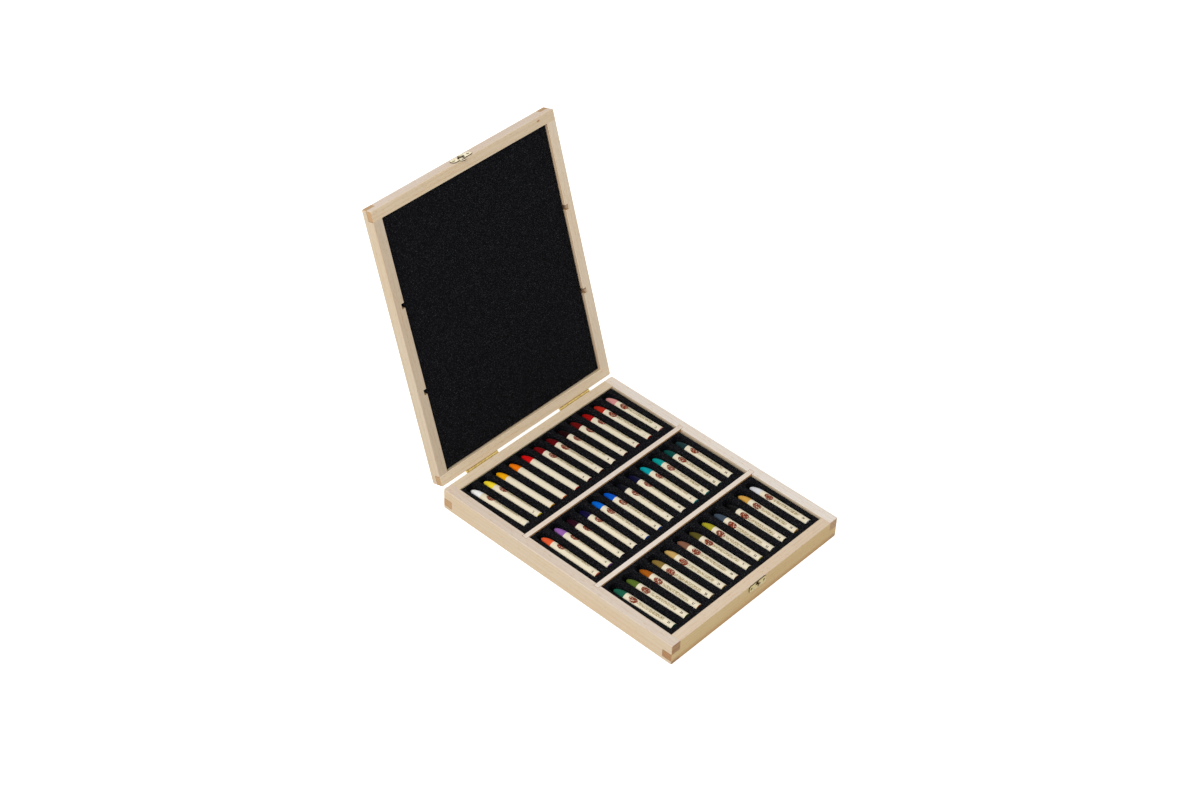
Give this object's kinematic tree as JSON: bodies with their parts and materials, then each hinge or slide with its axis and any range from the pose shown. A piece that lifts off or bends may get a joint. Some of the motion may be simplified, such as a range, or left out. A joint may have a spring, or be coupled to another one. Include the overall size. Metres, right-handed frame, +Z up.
{
  "type": "wooden pastel box",
  "caption": "Flat hinged wooden box for oil pastels: slotted foam inserts between dividers, paper-wrapped pastels, foam-lined lid, brass stop hinges and a swinging hook latch.",
  "frame": {"origin": "centre of the tray's underside, on the table", "axes": "+X to the right along the hinge line, +Y from the front to the hinge side, +Z up; the lid is open"},
  "size_m": [0.225, 0.3779, 0.2902],
  "materials": {
    "wood": "bare, sanded pale wood",
    "foam": "matt black closed-cell foam",
    "brass": "lacquered pressed sheet",
    "pastel_white": "waxy oil pastel, in a cream paper wrapper",
    "pastel_lemon_yellow": "waxy oil pastel, in a cream paper wrapper",
    "pastel_golden_yellow": "waxy oil pastel, in a cream paper wrapper",
    "pastel_orange": "waxy oil pastel, in a cream paper wrapper",
    "pastel_bright_red": "waxy oil pastel, in a cream paper wrapper",
    "pastel_carmine": "waxy oil pastel, in a cream paper wrapper",
    "pastel_crimson": "waxy oil pastel, in a cream paper wrapper",
    "pastel_maroon": "waxy oil pastel, in a cream paper wrapper",
    "pastel_dark_red": "waxy oil pastel, in a cream paper wrapper",
    "pastel_red": "waxy oil pastel, in a cream paper wrapper",
    "pastel_brick_red": "waxy oil pastel, in a cream paper wrapper",
    "pastel_pink": "waxy oil pastel, in a cream paper wrapper",
    "pastel_coral": "waxy oil pastel, in a cream paper wrapper",
    "pastel_violet": "waxy oil pastel, in a cream paper wrapper",
    "pastel_aubergine": "waxy oil pastel, in a cream paper wrapper",
    "pastel_ultramarine": "waxy oil pastel, in a cream paper wrapper",
    "pastel_azure_blue": "waxy oil pastel, in a cream paper wrapper",
    "pastel_cobalt_blue": "waxy oil pastel, in a cream paper wrapper",
    "pastel_blue_black": "waxy oil pastel, in a cream paper wrapper",
    "pastel_navy_blue": "waxy oil pastel, in a cream paper wrapper",
    "pastel_turquoise": "waxy oil pastel, in a cream paper wrapper",
    "pastel_turquoise_green": "waxy oil pastel, in a cream paper wrapper",
    "pastel_teal_green": "waxy oil pastel, in a cream paper wrapper",
    "pastel_deep_teal": "waxy oil pastel, in a cream paper wrapper",
    "pastel_emerald_green": "waxy oil pastel, in a cream paper wrapper",
    "pastel_olive_green": "waxy oil pastel, in a cream paper wrapper",
    "pastel_sienna": "waxy oil pastel, in a cream paper wrapper",
    "pastel_olive_brown": "waxy oil pastel, in a cream paper wrapper",
    "pastel_ochre": "waxy oil pastel, in a cream paper wrapper",
    "pastel_taupe": "waxy oil pastel, in a cream paper wrapper",
    "pastel_dark_olive": "waxy oil pastel, in a cream paper wrapper",
    "pastel_lime_olive": "waxy oil pastel, in a cream paper wrapper",
    "pastel_blue_grey": "waxy oil pastel, in a cream paper wrapper",
    "pastel_black": "waxy oil pastel, in a cream paper wrapper",
    "pastel_gold_ochre": "waxy oil pastel, in a cream paper wrapper",
    "pastel_pale_grey": "waxy oil pastel, in a cream paper wrapper"
  },
  "bodies": {
    "tray": {"tray_front_wall": "wood", "tray_back_wall": "wood", "tray_left_wall": "wood", "tray_right_wall": "wood", "tray_bottom": "wood", "tray_dividers": "wood", "foam_rear": "foam", "foam_middle": "foam", "foam_front": "foam", "hinge_tray_leaves": "brass", "hinge_pins": "brass", "tray_brads": "brass", "keeper_plate": "brass"},
    "lid": {"lid_front_wall": "wood", "lid_back_wall": "wood", "lid_left_wall": "wood", "lid_right_wall": "wood", "lid_panel": "wood", "lid_foam_pad": "foam", "hinge_lid_leaves": "brass", "lid_brads": "brass", "latch_plate": "brass", "latch_rivet": "brass"},
    "hook": {"latch_hook": "brass"},
    "pastel_white": {"pastel_white": "pastel_white"},
    "pastel_lemon_yellow": {"pastel_lemon_yellow": "pastel_lemon_yellow"},
    "pastel_golden_yellow": {"pastel_golden_yellow": "pastel_golden_yellow"},
    "pastel_orange": {"pastel_orange": "pastel_orange"},
    "pastel_bright_red": {"pastel_bright_red": "pastel_bright_red"},
    "pastel_carmine": {"pastel_carmine": "pastel_carmine"},
    "pastel_crimson": {"pastel_crimson": "pastel_crimson"},
    "pastel_maroon": {"pastel_maroon": "pastel_maroon"},
    "pastel_dark_red": {"pastel_dark_red": "pastel_dark_red"},
    "pastel_red": {"pastel_red": "pastel_red"},
    "pastel_brick_red": {"pastel_brick_red": "pastel_brick_red"},
    "pastel_pink": {"pastel_pink": "pastel_pink"},
    "pastel_coral": {"pastel_coral": "pastel_coral"},
    "pastel_violet": {"pastel_violet": "pastel_violet"},
    "pastel_aubergine": {"pastel_aubergine": "pastel_aubergine"},
    "pastel_ultramarine": {"pastel_ultramarine": "pastel_ultramarine"},
    "pastel_azure_blue": {"pastel_azure_blue": "pastel_azure_blue"},
    "pastel_cobalt_blue": {"pastel_cobalt_blue": "pastel_cobalt_blue"},
    "pastel_blue_black": {"pastel_blue_black": "pastel_blue_black"},
    "pastel_navy_blue": {"pastel_navy_blue": "pastel_navy_blue"},
    "pastel_turquoise": {"pastel_turquoise": "pastel_turquoise"},
    "pastel_turquoise_green": {"pastel_turquoise_green": "pastel_turquoise_green"},
    "pastel_teal_green": {"pastel_teal_green": "pastel_teal_green"},
    "pastel_deep_teal": {"pastel_deep_teal": "pastel_deep_teal"},
    "pastel_emerald_green": {"pastel_emerald_green": "pastel_emerald_green"},
    "pastel_olive_green": {"pastel_olive_green": "pastel_olive_green"},
    "pastel_sienna": {"pastel_sienna": "pastel_sienna"},
    "pastel_olive_brown": {"pastel_olive_brown": "pastel_olive_brown"},
    "pastel_ochre": {"pastel_ochre": "pastel_ochre"},
    "pastel_taupe": {"pastel_taupe": "pastel_taupe"},
    "pastel_dark_olive": {"pastel_dark_olive": "pastel_dark_olive"},
    "pastel_lime_olive": {"pastel_lime_olive": "pastel_lime_olive"},
    "pastel_blue_grey": {"pastel_blue_grey": "pastel_blue_grey"},
    "pastel_black": {"pastel_black": "pastel_black"},
    "pastel_gold_ochre": {"pastel_gold_ochre": "pastel_gold_ochre"},
    "pastel_pale_grey": {"pastel_pale_grey": "pastel_pale_grey"}
  },
  "joints": [
    {"name": "lid_hinge", "type": "hinge", "parent": "tray", "child": "lid", "pos_m": [0, 0.1398, 0.02205], "axis": [-1, 0, 0], "range_deg": [-107.8, 0]},
    {"name": "hook_swing", "type": "hinge", "parent": "lid", "child": "hook", "pos_m": [0, 0.22978, 0.28677], "axis": [0, -0.3057, -0.9521], "range_deg": [-28.4, 26]},
    {"name": "lift_white", "type": "slide", "parent": "tray", "child": "pastel_white", "axis": [0, 0, 1], "range_m": [0, 0.025]},
    {"name": "lift_lemon_yellow", "type": "slide", "parent": "tray", "child": "pastel_lemon_yellow", "axis": [0, 0, 1], "range_m": [0, 0.025]},
    {"name": "lift_golden_yellow", "type": "slide", "parent": "tray", "child": "pastel_golden_yellow", "axis": [0, 0, 1], "range_m": [0, 0.025]},
    {"name": "lift_orange", "type": "slide", "parent": "tray", "child": "pastel_orange", "axis": [0, 0, 1], "range_m": [0, 0.025]},
    {"name": "lift_bright_red", "type": "slide", "parent": "tray", "child": "pastel_bright_red", "axis": [0, 0, 1], "range_m": [0, 0.025]},
    {"name": "lift_carmine", "type": "slide", "parent": "tray", "child": "pastel_carmine", "axis": [0, 0, 1], "range_m": [0, 0.025]},
    {"name": "lift_crimson", "type": "slide", "parent": "tray", "child": "pastel_crimson", "axis": [0, 0, 1], "range_m": [0, 0.025]},
    {"name": "lift_maroon", "type": "slide", "parent": "tray", "child": "pastel_maroon", "axis": [0, 0, 1], "range_m": [0, 0.025]},
    {"name": "lift_dark_red", "type": "slide", "parent": "tray", "child": "pastel_dark_red", "axis": [0, 0, 1], "range_m": [0, 0.025]},
    {"name": "lift_red", "type": "slide", "parent": "tray", "child": "pastel_red", "axis": [0, 0, 1], "range_m": [0, 0.025]},
    {"name": "lift_brick_red", "type": "slide", "parent": "tray", "child": "pastel_brick_red", "axis": [0, 0, 1], "range_m": [0, 0.025]},
    {"name": "lift_pink", "type": "slide", "parent": "tray", "child": "pastel_pink", "axis": [0, 0, 1], "range_m": [0, 0.025]},
    {"name": "lift_coral", "type": "slide", "parent": "tray", "child": "pastel_coral", "axis": [0, 0, 1], "range_m": [0, 0.025]},
    {"name": "lift_violet", "type": "slide", "parent": "tray", "child": "pastel_violet", "axis": [0, 0, 1], "range_m": [0, 0.025]},
    {"name": "lift_aubergine", "type": "slide", "parent": "tray", "child": "pastel_aubergine", "axis": [0, 0, 1], "range_m": [0, 0.025]},
    {"name": "lift_ultramarine", "type": "slide", "parent": "tray", "child": "pastel_ultramarine", "axis": [0, 0, 1], "range_m": [0, 0.025]},
    {"name": "lift_azure_blue", "type": "slide", "parent": "tray", "child": "pastel_azure_blue", "axis": [0, 0, 1], "range_m": [0, 0.025]},
    {"name": "lift_cobalt_blue", "type": "slide", "parent": "tray", "child": "pastel_cobalt_blue", "axis": [0, 0, 1], "range_m": [0, 0.025]},
    {"name": "lift_blue_black", "type": "slide", "parent": "tray", "child": "pastel_blue_black", "axis": [0, 0, 1], "range_m": [0, 0.025]},
    {"name": "lift_navy_blue", "type": "slide", "parent": "tray", "child": "pastel_navy_blue", "axis": [0, 0, 1], "range_m": [0, 0.025]},
    {"name": "lift_turquoise", "type": "slide", "parent": "tray", "child": "pastel_turquoise", "axis": [0, 0, 1], "range_m": [0, 0.025]},
    {"name": "lift_turquoise_green", "type": "slide", "parent": "tray", "child": "pastel_turquoise_green", "axis": [0, 0, 1], "range_m": [0, 0.025]},
    {"name": "lift_teal_green", "type": "slide", "parent": "tray", "child": "pastel_teal_green", "axis": [0, 0, 1], "range_m": [0, 0.025]},
    {"name": "lift_deep_teal", "type": "slide", "parent": "tray", "child": "pastel_deep_teal", "axis": [0, 0, 1], "range_m": [0, 0.025]},
    {"name": "lift_emerald_green", "type": "slide", "parent": "tray", "child": "pastel_emerald_green", "axis": [0, 0, 1], "range_m": [0, 0.025]},
    {"name": "lift_olive_green", "type": "slide", "parent": "tray", "child": "pastel_olive_green", "axis": [0, 0, 1], "range_m": [0, 0.025]},
    {"name": "lift_sienna", "type": "slide", "parent": "tray", "child": "pastel_sienna", "axis": [0, 0, 1], "range_m": [0, 0.025]},
    {"name": "lift_olive_brown", "type": "slide", "parent": "tray", "child": "pastel_olive_brown", "axis": [0, 0, 1], "range_m": [0, 0.025]},
    {"name": "lift_ochre", "type": "slide", "parent": "tray", "child": "pastel_ochre", "axis": [0, 0, 1], "range_m": [0, 0.025]},
    {"name": "lift_taupe", "type": "slide", "parent": "tray", "child": "pastel_taupe", "axis": [0, 0, 1], "range_m": [0, 0.025]},
    {"name": "lift_dark_olive", "type": "slide", "parent": "tray", "child": "pastel_dark_olive", "axis": [0, 0, 1], "range_m": [0, 0.025]},
    {"name": "lift_lime_olive", "type": "slide", "parent": "tray", "child": "pastel_lime_olive", "axis": [0, 0, 1], "range_m": [0, 0.025]},
    {"name": "lift_blue_grey", "type": "slide", "parent": "tray", "child": "pastel_blue_grey", "axis": [0, 0, 1], "range_m": [0, 0.025]},
    {"name": "lift_black", "type": "slide", "parent": "tray", "child": "pastel_black", "axis": [0, 0, 1], "range_m": [0, 0.025]},
    {"name": "lift_gold_ochre", "type": "slide", "parent": "tray", "child": "pastel_gold_ochre", "axis": [0, 0, 1], "range_m": [0, 0.025]},
    {"name": "lift_pale_grey", "type": "slide", "parent": "tray", "child": "pastel_pale_grey", "axis": [0, 0, 1], "range_m": [0, 0.025]}
  ]
}
